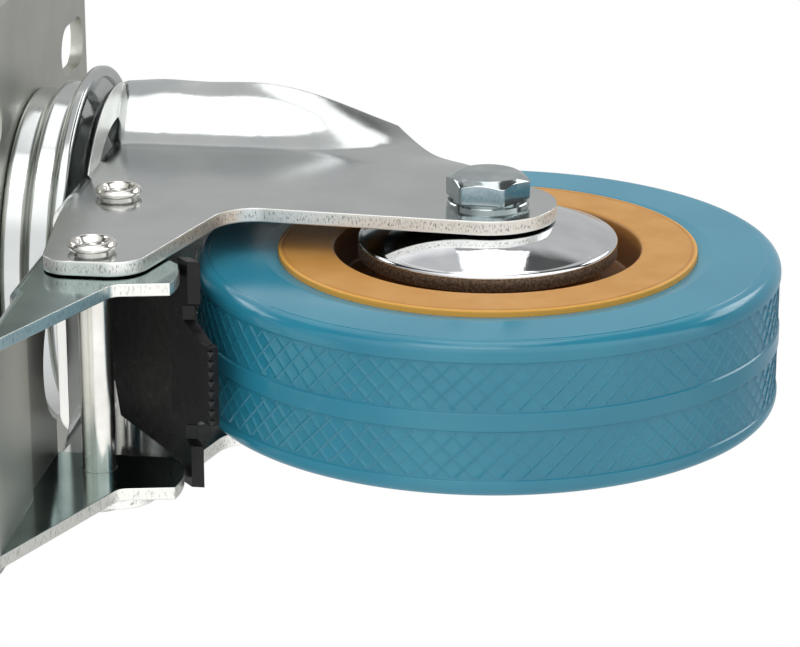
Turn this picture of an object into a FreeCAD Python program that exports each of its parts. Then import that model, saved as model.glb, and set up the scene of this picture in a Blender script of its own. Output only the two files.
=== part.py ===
import FreeCAD, Part
import math
import os
import Sketcher

# Swivel plate caster with a foot brake, in millimetres.
# +Z points up, out of the plate's top face, and the origin is that face's centre.
# The wheel trails towards -X, its axle lies along Y, and the bolt's head is on the -Y side.

Vector = FreeCAD.Vector

drivingSizes = {
    # Mounting plate
    "plateLength": 106, "plateWidth": 125, "plateThick": 3, "plateCorner": 9,
    "boltInsetX": 14, "boltInsetY": 24.5, "slotWidth": 12, "slotLength": 22,
    # Main places: plate top down to the tyre, and the axle behind the swivel axis
    "headRoom": 48.5, "swivelOffset": 38,
    # Swivel head
    "cupSheet": 2.5, "cupRadius": 37, "cupStep": 1.8, "cupNeck": 5.2, "cupBand": 6.2, "lipRadius": 42.3,
    "lipHeight": 2.4, "lipGap": 0.8, "headRise": 6, "headRing": 33.5, "headHole": 9,
    "upperBall": 9, "upperTrack": 26, "lowerBall": 6.5, "lowerTrack": 17, "grooveDepth": 0.75,
    "ballGap": 0.03, "raceRadius": 22, "raceThick": 4, "collarRadius": 11, "collarThick": 4,
    "pinRadius": 6, "pinHead": 10.5, "pinHeadDepth": 4, "pinTail": 2,
    # Fork
    "forkSheet": 3, "forkInside": 47.2, "hoodRadius": 39.5, "hoodEdge": 5, "rimInset": 0.3, "hoodFoot": 53,
    "hoodStart": 8, "bendAhead": 32, "headBack": 12, "lobeReach": 7.7, "lobeTop": 26.4, "borderTop": 21.6,
    "lobeFoot": 45.3, "lobeRound": 8, "waistBack": 10.6, "waistDrop": 57.2, "waistRound": 9,
    "legRound": 14.6, "leadAngle": 45, "kneeAhead": 17, "leadRound": 60, "noseDrop": 39,
    # Wheel
    "wheelRadius": 62.5, "tyreWidth": 32.6, "treadStep": 0.45, "ribWidth": 3.6, "bandEdge": 12.5,
    "shoulderRound": 3.3, "sideDish": 0.4,
    "tyreDepth": 17.8, "seatDepth": 4.7, "hubFlange": 3.8, "hubProud": 0.9, "lipWidth": 11.9,
    "pocketDepth": 8.5, "bossWall": 6, "bossProud": 0.2, "boreStep": 3.5,
    # Wheel bearings
    "bearingOuter": 17.5, "bearingInner": 7.5, "bearingWidth": 11, "bearingBall": 6, "bearingTrack": 12.5,
    "ringWall": 2.8, "bearingCount": 8,
    # Axle
    "axleRadius": 5, "axleClear": 0.2, "headAcross": 16, "headHeight": 6.4, "flangeRadius": 8.4,
    "flangeThick": 0.5, "nutHeight": 8, "nutCollar": 2.6, "washerRadius": 10, "washerThick": 1.8,
    "threadEnd": 2.4,
    # Thread guards
    "guardGap": 5, "guardSheet": 1, "guardSkirt": 3.4, "guardBase": 4.8, "guardTop": 9.5,
    # Brake
    "pedalPinBack": 44.3, "pedalPinDrop": 35.3, "shoePinBack": 6.3, "shoePinDrop": 32.3, "rivetRadius": 3.5,
    "rivetHead": 5, "rivetRaise": 2.3, "rivetRecess": 3.2, "rivetDepth": 1.4, "runningGap": 0.07,
    "sideGap": 0.4, "pedalSheet": 2.6, "pedalRise": 13.3, "pedalReach": 68, "pedalNotch": 14,
    "pedalCrease": 16, "pedalStep": 1.3, "pedalDroop": 1.3, "pedalLip": 4, "pedalFold": 2.4, "earFoot": 17.6,
    "earBack": 8.8, "earTip": 3.4, "earFront": 7.6, "earArc": 22, "earHeel": 11, "earHeelDrop": 6.4,
    "heelRound": 3, "earEnd": 48,
    "shoeSheet": 2, "shoeReach": 43.2, "shoeDrop": 27.7, "shoeKnee": 30.7, "shoeKneeDrop": 17.1,
    "shoeNeck": 26, "neckLength": 7, "shoeSideGap": 0.6, "tabReach": 3.9, "lugRoot": 11.5, "lugTip": 8.5,
    "notchWidth": 3, "lugStart": 34.8, "tabStart": 33.6, "tabEnd": 36.6, "toothDepth": 0.8, "toothCount": 8,
}


class Size:
    # A length that carries its value and the formula that gives it from the sheet's cells.
    def __init__(self, value, formula):
        self.value = float(value)
        self.formula = formula

    def joined(self, other, sign, value):
        text = other.formula if isinstance(other, Size) else repr(float(other))
        return Size(value, f"({self.formula} {sign} {text})")

    def __add__(self, other):
        return self.joined(other, "+", self.value + number(other))

    def __sub__(self, other):
        return self.joined(other, "-", self.value - number(other))

    def __mul__(self, other):
        return self.joined(other, "*", self.value * number(other))

    def __truediv__(self, other):
        return self.joined(other, "/", self.value / number(other))

    def __neg__(self):
        return Size(-self.value, f"(0 - {self.formula})")


def number(size):
    return size.value if isinstance(size, Size) else float(size)


def formula(size):
    return size.formula if isinstance(size, Size) else repr(float(size))


doc = FreeCAD.newDocument("caster")
sheet = doc.addObject("Spreadsheet::Sheet", "sizes")
for row, (name, value) in enumerate(drivingSizes.items(), start=1):
    sheet.set(f"A{row}", str(value))
    sheet.setAlias(f"A{row}", name)
doc.recompute()


class Sizes:
    # Every driving size by its name.
    pass


for name in drivingSizes:
    setattr(Sizes, name, Size(sheet.get(name), f"sizes.{name}"))
s = Sizes
zero = s.plateThick * 0

# Heights that follow from the driving sizes, measured from the plate's top face.
plateUnder = -s.plateThick
cupCeiling = plateUnder - s.cupSheet
upperBallMid = cupCeiling + s.grooveDepth - s.ballGap - s.upperBall / 2
crownTop = upperBallMid - s.upperBall / 2 - s.ballGap + s.grooveDepth
headTop = crownTop - s.headRise
lipFoot = headTop + s.lipGap
crownUnder = crownTop - s.forkSheet
lowerBallMid = crownUnder + s.grooveDepth - s.ballGap - s.lowerBall / 2
raceTop = lowerBallMid - s.lowerBall / 2 - s.ballGap + s.grooveDepth
raceFoot = raceTop - s.raceThick
collarFoot = raceFoot - s.collarThick
forkOutside = s.forkInside + s.forkSheet * 2
forkHalf = s.forkInside / 2
outHalf = forkOutside / 2
axleDrop = s.wheelRadius + s.headRoom
axleX = -s.swivelOffset
axleZ = -axleDrop
hubLip = s.wheelRadius - s.tyreDepth
hubSeat = hubLip - s.seatDepth
hubHalf = s.tyreWidth / 2 + s.hubProud
pocketRadius = hubLip - s.lipWidth
bossRadius = s.bearingOuter + s.bossWall
bossHalf = hubHalf + s.bossProud
guardRadius = pocketRadius - s.guardGap
earInside = s.forkInside / 2 - s.sideGap - s.pedalSheet
parts = []


# Bodies, sketches and features

def newBody(label, x=None, z=None):
    body = doc.addObject("PartDesign::Body", label)
    body.Label = label
    if x is not None:
        body.setExpression("Placement.Base.x", formula(x))
        body.setExpression("Placement.Base.z", formula(z))
    parts.append(body)
    return body


def newSketch(body, role, label):
    sketch = body.newObject("Sketcher::SketchObject", label)
    plane = [item for item in body.Origin.OriginFeatures if item.Role == role][0]
    sketch.AttachmentSupport = [(plane, "")]
    sketch.MapMode = "FlatFace"
    return sketch


def bind(sketch, kind, places, size):
    index = sketch.addConstraint(Sketcher.Constraint(kind, *places, number(size)))
    sketch.renameConstraint(index, f"size{index}")
    sketch.setExpression(f"Constraints.size{index}", formula(size))


def arcBetween(start, end, radius):
    # A positive radius turns anticlockwise from start to end, a negative one clockwise.
    chord = end - start
    half = chord.Length / 2
    side = math.sqrt(max(radius * radius - half * half, 0)) / chord.Length
    normal = Vector(-chord.y, chord.x, 0) * (side if radius > 0 else -side)
    centre = (start + end) * 0.5 + normal
    first, last = (start, end) if radius > 0 else (end, start)
    angles = [math.atan2(point.y - centre.y, point.x - centre.x) for point in (first, last)]
    circle = Part.Circle(centre, Vector(0, 0, 1), abs(radius))
    return Part.ArcOfCircle(circle, angles[0], angles[1])


def drawOutline(sketch, corners):
    # Each corner is (across, up), with an arc's signed radius third where the next edge is an arc.
    points = [Vector(number(corner[0]), number(corner[1]), 0) for corner in corners]
    count = len(corners)
    ends = []
    base = sketch.GeometryCount
    for index, corner in enumerate(corners):
        start, end = points[index], points[(index + 1) % count]
        if len(corner) == 3:
            radius = number(corner[2])
            sketch.addGeometry(arcBetween(start, end, radius))
            ends.append((1, 2) if radius > 0 else (2, 1))
        else:
            sketch.addGeometry(Part.LineSegment(start, end))
            ends.append((1, 2))
    for index in range(count):
        after = (index + 1) % count
        places = (base + index, ends[index][1], base + after, ends[after][0])
        sketch.addConstraint(Sketcher.Constraint("Coincident", *places))
    for index, corner in enumerate(corners):
        place = (-1, 1, base + index, ends[index][0])
        bind(sketch, "DistanceX", place, corner[0])
        bind(sketch, "DistanceY", place, corner[1])
        if len(corner) == 3:
            size = corner[2] if number(corner[2]) > 0 else -corner[2]
            bind(sketch, "Radius", (base + index,), size)


def drawCircle(sketch, across, up, radius):
    index = sketch.GeometryCount
    centre = Vector(number(across), number(up), 0)
    sketch.addGeometry(Part.Circle(centre, Vector(0, 0, 1), number(radius)))
    bind(sketch, "DistanceX", (-1, 1, index, 3), across)
    bind(sketch, "DistanceY", (-1, 1, index, 3), up)
    bind(sketch, "Radius", (index,), radius)


def turned(label, role, corners, x=None, z=None):
    # One closed outline turned round its own vertical axis.
    body = newBody(label, x, z)
    sketch = newSketch(body, role, "section")
    drawOutline(sketch, corners)
    turn = body.newObject("PartDesign::Revolution", "turn")
    turn.Profile = sketch
    turn.ReferenceAxis = (sketch, ["V_Axis"])
    turn.Angle = 360
    doc.recompute()
    return body


def grooved(body, role, draw):
    # Cuts what draw puts in a sketch all round the body's axis, and checks that it cut.
    before = body.Shape.Volume
    sketch = newSketch(body, role, "grooveSection")
    draw(sketch)
    groove = body.newObject("PartDesign::Groove", "groove")
    groove.Profile = sketch
    groove.ReferenceAxis = (sketch, ["V_Axis"])
    groove.Angle = 360
    doc.recompute()
    if body.Shape.Volume >= before:
        raise ValueError(f"{body.Label}: the groove cut nothing")


def padded(body, role, draw, thick, side="One side", flip=False):
    sketch = newSketch(body, role, "outline")
    draw(sketch)
    pad = body.newObject("PartDesign::Pad", "pad")
    pad.Profile = sketch
    pad.SideType = side
    pad.Reversed = flip
    pad.setExpression("Length", formula(thick))
    doc.recompute()
    return pad


def pocketed(body, role, draw, depth):
    # A cut to both sides of the sketch's plane, checked to have cut.
    before = body.Shape.Volume
    sketch = newSketch(body, role, "cutOutline")
    draw(sketch)
    pocket = body.newObject("PartDesign::Pocket", "pocket")
    pocket.Profile = sketch
    pocket.SideType = "Symmetric"
    pocket.setExpression("Length", formula(depth))
    doc.recompute()
    if body.Shape.Volume >= before:
        raise ValueError(f"{body.Label}: the pocket cut nothing")


def rounded(body, radius, picked):
    # Rounds every edge that picked accepts.
    tip = body.Tip
    names = [f"Edge{i}" for i, edge in enumerate(tip.Shape.Edges, start=1) if picked(edge)]
    if not names:
        raise ValueError(f"{body.Label}: no edge to round")
    fillet = body.newObject("PartDesign::Fillet", "fillet")
    fillet.Base = (tip, names)
    fillet.setExpression("Radius", formula(radius))
    doc.recompute()


def ringEdge(axis, radius, height):
    # True for a full circle of this radius about the body's axis, at this height along it.
    def picked(edge):
        if not isinstance(edge.Curve, Part.Circle):
            return False
        centre = edge.Curve.Center
        off = [centre.x, centre.y, centre.z]
        along = off.pop(axis)
        near = abs(edge.Curve.Radius - number(radius)) < 0.01 and abs(along - number(height)) < 0.01
        return near and max(abs(value) for value in off) < 0.01
    return picked


def solidFeature(label, shape, x=0.0, z=0.0):
    feature = doc.addObject("Part::Feature", label)
    feature.Label = label
    feature.Shape = shape
    feature.Placement = FreeCAD.Placement(Vector(x, 0, z), FreeCAD.Rotation())
    parts.append(feature)
    return feature


# Mounting plate

def drawSlot(sketch, across, up, width, length):
    # A slot along X with round ends, centred at (across, up).
    base = sketch.GeometryCount
    reach = (length - width) / 2
    radius = number(width) / 2
    ends = []
    for sign in (1, -1):
        middle = Vector(number(across + reach * sign), number(up), 0)
        foot = -math.pi / 2 * sign
        circle = Part.Circle(middle, Vector(0, 0, 1), radius)
        sketch.addGeometry(Part.ArcOfCircle(circle, foot, foot + math.pi))
        ends.append([middle - Vector(0, radius * sign, 0), middle + Vector(0, radius * sign, 0)])
        bind(sketch, "DistanceX", (-1, 1, base + len(ends) - 1, 3), across + reach * sign)
        bind(sketch, "DistanceY", (-1, 1, base + len(ends) - 1, 3), up)
    sketch.addGeometry(Part.LineSegment(ends[0][1], ends[1][0]))
    sketch.addGeometry(Part.LineSegment(ends[1][1], ends[0][0]))
    for places in ((0, 2, 2, 1), (2, 2, 1, 1), (1, 2, 3, 1), (3, 2, 0, 1)):
        joint = (base + places[0], places[1], base + places[2], places[3])
        sketch.addConstraint(Sketcher.Constraint("Tangent", *joint))
    bind(sketch, "Radius", (base,), width / 2)


def makeTopPlate():
    body = newBody("top_plate")
    halfX, halfY = s.plateLength / 2, s.plateWidth / 2
    corners = [(-halfX, -halfY), (halfX, -halfY), (halfX, halfY), (-halfX, halfY)]
    padded(body, "XY_Plane", lambda sketch: drawOutline(sketch, corners), s.plateThick, flip=True)

    def upright(edge):
        point = edge.CenterOfMass
        return abs(abs(point.x) - halfX.value) < 0.01 and abs(abs(point.y) - halfY.value) < 0.01
    rounded(body, s.plateCorner, upright)

    def drawSlots(sketch):
        across, up = halfX - s.boltInsetX, halfY - s.boltInsetY
        for signX, signY in ((1, 1), (-1, 1), (-1, -1), (1, -1)):
            drawSlot(sketch, across * signX, up * signY, s.slotWidth, s.slotLength)
    pocketed(body, "XY_Plane", drawSlots, s.plateThick * 3)

    def drawPinSeat(sketch):
        # The countersink that the kingpin's head fills, and the hole below it.
        drawOutline(sketch, [(zero, zero), (s.pinHead, zero), (s.pinRadius, -s.pinHeadDepth * seatShare()),
                             (s.pinRadius, plateUnder), (zero, plateUnder)])
    grooved(body, "XZ_Plane", drawPinSeat)


def seatShare():
    # The countersink ends at two thirds of the plate's thickness.
    return s.plateThick * (2 / 3) / s.pinHeadDepth


def makeKingpin():
    seatFoot = -s.plateThick * (2 / 3)
    tailRadius = s.pinRadius + s.pinTail
    turned("kingpin", "XZ_Plane", [
        (zero, zero), (zero, collarFoot - s.pinTail), (s.pinRadius, collarFoot - s.pinTail),
        (tailRadius, collarFoot - s.pinTail / 2), (tailRadius, collarFoot), (s.pinRadius, collarFoot),
        (s.pinRadius, seatFoot), (s.pinHead, zero)])


def makeCup():
    # A pressed cup: flat crown under the plate, two short bands, and a flared lip over the fork.
    wide = s.cupRadius + s.cupStep
    neckFoot = plateUnder - s.cupNeck
    bandTop = neckFoot - s.cupStep
    bandFoot = bandTop - s.cupBand
    lipTop = lipFoot + s.lipHeight
    inner = s.cupRadius - s.cupSheet
    body = turned("bearing_cup", "XZ_Plane", [
        (s.pinRadius, plateUnder), (s.cupRadius, plateUnder), (s.cupRadius, neckFoot), (wide, bandTop),
        (wide, lipTop + s.cupSheet), (s.lipRadius, lipTop), (s.lipRadius, lipFoot),
        (s.lipRadius - s.cupSheet, lipFoot), (s.lipRadius - s.cupSheet, lipTop - s.cupSheet / 4),
        (wide - s.cupSheet, lipTop + s.cupSheet), (wide - s.cupSheet, bandTop - s.cupSheet / 4),
        (inner, neckFoot - s.cupSheet / 4), (inner, cupCeiling), (s.pinRadius, cupCeiling)])
    round = s.cupSheet / 2
    for radius, height in ((s.cupRadius, neckFoot), (wide, bandTop), (wide, lipTop + s.cupSheet),
                           (s.lipRadius, lipTop), (s.cupRadius, plateUnder)):
        rounded(body, round * 0.9, ringEdge(2, radius, height))
    rounded(body, round * 0.6, ringEdge(2, s.lipRadius, lipFoot))
    track = s.upperBall / 2 + s.ballGap
    grooved(body, "XZ_Plane", lambda sketch: drawCircle(sketch, s.upperTrack, upperBallMid, track))


def makeLowerRace():
    body = turned("lower_race", "XZ_Plane", [
        (s.pinRadius, raceTop), (s.pinRadius, raceFoot), (s.raceRadius, raceFoot), (s.raceRadius, raceTop)])
    track = s.lowerBall / 2 + s.ballGap
    grooved(body, "XZ_Plane", lambda sketch: drawCircle(sketch, s.lowerTrack, lowerBallMid, track))


def makeCollar():
    chamfer = s.collarThick / 4
    turned("kingpin_collar", "XZ_Plane", [
        (s.pinRadius, raceFoot), (s.pinRadius, collarFoot), (s.collarRadius - chamfer, collarFoot),
        (s.collarRadius, collarFoot + chamfer), (s.collarRadius, raceFoot)])


def ballRing(radius, ball, count, axis):
    # Balls evenly spaced on a circle round axis 1 (Y) or axis 2 (Z).
    balls = []
    for index in range(count):
        angle = 2 * math.pi * index / count
        first, second = radius * math.cos(angle), radius * math.sin(angle)
        centre = Vector(first, second, 0) if axis == 2 else Vector(first, 0, second)
        balls.append(Part.makeSphere(ball / 2, centre))
    return balls


def makeSwivelBalls():
    for label, ball, track, middle in (("upper_balls", s.upperBall, s.upperTrack, upperBallMid),
                                       ("lower_balls", s.lowerBall, s.lowerTrack, lowerBallMid)):
        count = int(2 * math.pi * track.value / (ball.value * 1.12))
        balls = ballRing(track.value, ball.value, count, 2)
        solidFeature(label, Part.makeCompound(balls), 0, middle.value)


# Fork

def smooth(share):
    share = min(max(share, 0), 1)
    return share * share * (3 - 2 * share)


def forkLevel(height, inset):
    # The fork's outline at a height above the axle: flat legs behind, a round hood ahead.
    hoodFull = (axleDrop - s.hoodFoot).value
    share = smooth((height - s.hoodStart.value) / (hoodFull - s.hoodStart.value))
    flat = outHalf.value - inset
    slim = outHalf.value + 1 - inset
    radius = slim + (s.hoodRadius.value - inset - slim) * share
    back = axleX.value - s.pedalPinBack.value - s.lobeReach.value - 10
    bend = s.bendAhead.value - s.swivelOffset.value + inset * 0.4 * share - 8 * (1 - share)
    angle = math.radians(75)
    ahead, wide = radius * math.cos(angle), radius * math.sin(angle)
    handle = 0.5 * (ahead - bend)
    level = height - axleDrop.value

    def blend(side):
        before = Vector(ahead - handle * math.sin(angle), side * (wide - handle * math.cos(angle)), level)
        curve = Part.BezierCurve()
        curve.setPoles([Vector(bend, side * flat, level), Vector(bend + handle, side * flat, level), before,
                        Vector(ahead, side * wide, level)])
        return curve.toShape()
    nose = Part.Arc(Vector(ahead, wide, level), Vector(radius, 0, level), Vector(ahead, -wide, level))
    near, far = blend(1), blend(-1)
    edges = [Part.LineSegment(Vector(back, flat, level), Vector(bend, flat, level)).toShape(), near,
             nose.toShape(), far,
             Part.LineSegment(Vector(bend, -flat, level), Vector(back, -flat, level)).toShape(),
             Part.LineSegment(Vector(back, -flat, level), Vector(back, flat, level)).toShape()]
    return Part.Wire(Part.__sortEdges__(edges))


def forkBlock(inset):
    # The solid inside the fork's outer face, or inside its inner face with the sheet as inset.
    top = headTop.value + axleDrop.value - inset
    depth = top + s.legRound.value + 4
    levels = [top - depth * index / 12 for index in range(13)]
    block = Part.makeLoft([forkLevel(level, inset) for level in levels], True, False, False, 3)
    height = headTop.value - inset
    edges = [edge for edge in block.Edges
             if abs(edge.BoundBox.ZMin - height) < 0.01 and abs(edge.BoundBox.ZMax - height) < 0.01
             and edge.BoundBox.XMax > -s.swivelOffset.value]
    radius = s.hoodEdge.value if inset == 0 else s.hoodEdge.value - s.forkSheet.value
    return block.makeFillet(radius, edges)


def roundedWire(corners):
    # A closed outline in the XZ plane. Each corner is (x, z, radius), and a zero radius stays sharp.
    points = [Vector(x, 0, z) for x, z, radius in corners]
    count = len(points)
    entries, exits = [], []
    for index, (x, z, radius) in enumerate(corners):
        point = points[index]
        back = (points[index - 1] - point).normalize()
        ahead = (points[(index + 1) % count] - point).normalize()
        half = back.getAngle(ahead) / 2
        length = radius / math.tan(half)
        entries.append(point + back * length)
        exits.append(point + ahead * length)
    edges = []
    for index, (x, z, radius) in enumerate(corners):
        if radius > 0:
            point = points[index]
            middle = (entries[index] + exits[index]) * 0.5
            towards = (middle - point).normalize()
            half = (entries[index] - point).getAngle(towards)
            centre = point + towards * (radius / math.sin(half))
            crest = centre - towards * radius
            edges.append(Part.Arc(entries[index], crest, exits[index]).toShape())
        after = entries[(index + 1) % count]
        edges.append(Part.LineSegment(exits[index], after).toShape())
    return Part.Wire(edges)


def crossing(pointA, directionA, pointB, directionB):
    # Where two lines in the XZ plane meet.
    span = pointB - pointA
    turn = directionA.x * directionB.z - directionA.z * directionB.x
    share = (span.x * directionB.z - span.z * directionB.x) / turn
    return pointA + directionA * share


def forkSideOutline():
    # Seen from the side: the pin lobe behind, the waist, the leg's round end, and the open front.
    def place(back, drop):
        return Vector(axleX.value - number(back), 0, -number(drop))
    axle = place(0, axleDrop)
    waist = place(s.waistBack, s.waistDrop)
    reach = (waist - axle).Length
    tilt = math.asin(s.legRound.value / reach)
    base = math.atan2(waist.z - axle.z, waist.x - axle.x)
    nearLine = Vector(math.cos(base - tilt), 0, math.sin(base - tilt))
    lead = math.radians(s.leadAngle.value)
    leadLine = Vector(math.cos(lead), 0, math.sin(lead))
    leadPoint = axle + Vector(math.sin(lead), 0, -math.cos(lead)) * s.legRound.value
    end = crossing(waist, nearLine, leadPoint, leadLine)
    knee = crossing(leadPoint, leadLine, Vector(s.kneeAhead.value, 0, 0), Vector(0, 0, 1))
    nose = Vector(s.hoodRadius.value + 4, 0, 4 - s.noseDrop.value)
    over = headTop.value + 4
    lobeEnd = s.pedalPinBack + s.lobeReach
    lobeTop = place(lobeEnd, s.lobeTop)
    lobeFoot = place(lobeEnd, s.lobeFoot)
    step = place(s.headBack, s.borderTop)
    return [(lobeTop.x, lobeTop.z, s.lobeRound.value * 0.7), (lobeFoot.x, lobeFoot.z, s.lobeRound.value),
            (waist.x, waist.z, s.waistRound.value), (end.x, end.z, s.legRound.value),
            (knee.x, knee.z, s.leadRound.value), (nose.x, nose.z, 0), (nose.x, over, 0), (step.x, over, 0),
            (step.x, step.z, 0)]


def forkHead():
    # The round head: a rim just inside the hood's rounded edge, and the raised middle of both ball tracks.
    ring, rise, sheetThick = s.headRing.value, s.headRise.value, s.forkSheet.value
    head, crown, hole = headTop.value, crownTop.value, s.headHole.value
    slope = rise * 0.5
    round = s.hoodEdge.value
    start = (s.hoodRadius - s.rimInset).value - round

    def rimAt(drop):
        return Vector(start + math.sqrt(round * round - (round - drop) ** 2), 0, head - drop)
    section = [(ring - 0.5, head), (ring - 0.5 - slope, crown), (hole, crown), (hole, crown - sheetThick),
               (ring - 0.5 - slope - sheetThick * 0.6, crown - sheetThick),
               (ring - 0.5 - sheetThick * 0.6, head - sheetThick)]
    points = [rimAt(0)] + [Vector(x, 0, z) for x, z in section] + [rimAt(sheetThick)]
    edges = Part.makePolygon(points).Edges
    edges.append(Part.Arc(rimAt(sheetThick), rimAt(sheetThick / 2), rimAt(0)).toShape())
    face = Part.Face(Part.Wire(edges))
    return face.revolve(Vector(0, 0, 0), Vector(0, 0, 1), 360)


def makeFork():
    shell = forkBlock(0).cut(forkBlock(s.forkSheet.value))
    outline = Part.Face(roundedWire(forkSideOutline()))
    depth = (s.lipRadius + s.hoodRadius).value
    outline.translate(Vector(0, -depth, 0))
    shell = shell.common(outline.extrude(Vector(0, 2 * depth, 0)))
    lidFoot = Vector(0, 0, headTop.value - s.forkSheet.value)
    shell = shell.cut(Part.makeCylinder(s.headRing.value, s.forkSheet.value * 3, lidFoot)).fuse(forkHead())
    cutters = [Part.makeTorus(s.upperTrack.value, s.upperBall.value / 2 + s.ballGap.value,
                              Vector(0, 0, upperBallMid.value)),
               Part.makeTorus(s.lowerTrack.value, s.lowerBall.value / 2 + s.ballGap.value,
                              Vector(0, 0, lowerBallMid.value))]
    holes = [(axleX, axleZ, s.axleRadius + s.axleClear),
             (axleX - s.pedalPinBack, -s.pedalPinDrop, s.rivetRadius),
             (axleX - s.shoePinBack, -s.shoePinDrop, s.rivetRadius)]
    for across, up, radius in holes:
        start = Vector(across.value, -depth, up.value)
        cutters.append(Part.makeCylinder(radius.value, 2 * depth, start, Vector(0, 1, 0)))
    for cutter in cutters:
        shell = shell.cut(cutter)
    solidFeature("fork", shell.removeSplitter())


# Wheel

def mirrored(corners):
    # The half outline from the top down to y = 0, followed by its mirror image.
    other = [(corner[0], -corner[1]) for corner in reversed(corners)]
    return corners + other


def makeTyre():
    half = s.tyreWidth / 2
    flange = hubHalf - s.hubFlange
    low = s.wheelRadius - s.treadStep
    rib = s.ribWidth / 2
    body = turned("tyre", "XY_Plane", mirrored([
        (hubSeat, flange), (hubLip, flange), (hubLip, half - s.sideDish), (hubLip + s.sideDish * 8, half),
        (s.wheelRadius, half), (s.wheelRadius, s.bandEdge), (low, s.bandEdge - s.treadStep),
        (low, rib + s.treadStep), (s.wheelRadius, rib)]), axleX, axleZ)
    for side in (half, -half):
        rounded(body, s.shoulderRound, ringEdge(1, s.wheelRadius, side))


def makeHub():
    flange = hubHalf - s.hubFlange
    floor = hubHalf - s.pocketDepth
    seat = bossHalf - s.bearingWidth
    bore = s.bearingOuter - s.boreStep
    body = turned("hub", "XY_Plane", mirrored([
        (hubSeat, flange), (hubLip, flange), (hubLip, hubHalf), (pocketRadius, hubHalf),
        (pocketRadius - 1.2, floor), (bossRadius + 0.8, floor), (bossRadius, bossHalf),
        (s.bearingOuter, bossHalf), (s.bearingOuter, seat), (bore, seat)]), axleX, axleZ)
    for side in (hubHalf, -hubHalf):
        rounded(body, s.sideDish * 2, ringEdge(1, hubLip, side))
        rounded(body, s.sideDish * 3, ringEdge(1, pocketRadius, side))


def bearingMiddle():
    return bossHalf - s.bearingWidth / 2


def makeBearings():
    half = s.bearingWidth / 2
    track = s.bearingBall / 2 + s.ballGap
    rings = (("outer_ring", s.bearingOuter - s.ringWall, s.bearingOuter),
             ("inner_ring", s.bearingInner, s.bearingInner + s.ringWall))
    for side, sign in (("left", -1), ("right", 1)):
        middle = bearingMiddle() * sign
        for name, inside, outside in rings:
            body = turned(f"{side}_{name}", "XY_Plane", [
                (inside, middle - half), (outside, middle - half), (outside, middle + half),
                (inside, middle + half)], axleX, axleZ)
            grooved(body, "XY_Plane", lambda sketch: drawCircle(sketch, s.bearingTrack, middle, track))
        balls = ballRing(s.bearingTrack.value, s.bearingBall.value, int(s.bearingCount.value), 1)
        for ball in balls:
            ball.translate(Vector(0, middle.value, 0))
        solidFeature(f"{side}_balls", Part.makeCompound(balls), axleX.value, axleZ.value)


# Axle and thread guards

def makeGuards():
    # A pressed dome that the sleeve clamps against the leg, with a short skirt in the hub's pocket.
    top = forkHalf
    rim = top - s.guardBase
    bulge = guardRadius * 1.75
    for side, sign in (("left", -1), ("right", 1)):
        corners = [
            (s.axleRadius + s.axleClear, top), (s.guardTop, top, -bulge), (guardRadius, rim),
            (guardRadius, rim - s.guardSkirt), (guardRadius - s.guardSheet, rim - s.guardSkirt),
            (guardRadius - s.guardSheet, rim - s.guardSheet * 0.4, bulge - s.guardSheet),
            (s.guardTop, top - s.guardSheet), (s.axleRadius + s.axleClear, top - s.guardSheet)]
        if sign < 0:
            corners = [(corner[0], -corner[1], *(-turn for turn in corner[2:])) for corner in corners]
        turned(f"{side}_guard", "XY_Plane", corners, axleX, axleZ)


def makeSleeve():
    reach = forkHalf - s.guardSheet
    turned("axle_sleeve", "XY_Plane", [
        (s.axleRadius + s.axleClear / 2, -reach), (s.bearingInner, -reach), (s.bearingInner, reach),
        (s.axleRadius + s.axleClear / 2, reach)], axleX, axleZ)


def hexagon(across, turn):
    radius = across / math.sqrt(3)
    angles = [turn + math.pi / 3 * index for index in range(6)]
    return [(radius * math.cos(angle), radius * math.sin(angle)) for angle in angles]


def chamferSection(across, end, side):
    # The outline that takes the points off a hexagon's end face at 30 degrees.
    corner = across / math.sqrt(3)
    flat = across * 0.475
    drop = (corner + 1 - flat) * math.tan(math.radians(30))
    return [(flat, end), (corner + 1, end), (corner + 1, end - drop * side)]


def makeBolt():
    body = newBody("axle_bolt", axleX, axleZ)
    foot = outHalf
    tail = outHalf + s.washerThick + s.nutHeight + s.threadEnd
    flangeTop = -foot - s.flangeThick
    section = [(zero, flangeTop), (s.flangeRadius, flangeTop), (s.flangeRadius, -foot),
               (s.axleRadius, -foot), (s.axleRadius, tail - 1), (s.axleRadius - 1, tail), (zero, tail)]
    sketch = newSketch(body, "XY_Plane", "shank")
    drawOutline(sketch, section)
    turn = body.newObject("PartDesign::Revolution", "turn")
    turn.Profile = sketch
    turn.ReferenceAxis = (sketch, ["V_Axis"])
    turn.Angle = 360
    doc.recompute()
    hexCorners = hexagon(s.headAcross, math.radians(-94.5))
    padded(body, "XZ_Plane", lambda drawn: drawOutline(drawn, hexCorners), foot + s.headHeight)
    top = -foot - s.headHeight
    # The pad starts at the middle plane, so all of it below the leg's outer face is turned down.
    waste = [(s.axleRadius, zero), (s.axleRadius, -foot), (s.headAcross, -foot), (s.headAcross, zero)]
    grooved(body, "XY_Plane", lambda drawn: drawOutline(drawn, waste))
    grooved(body, "XY_Plane", lambda drawn: drawOutline(drawn, chamferSection(s.headAcross, top, -1)))


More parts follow.
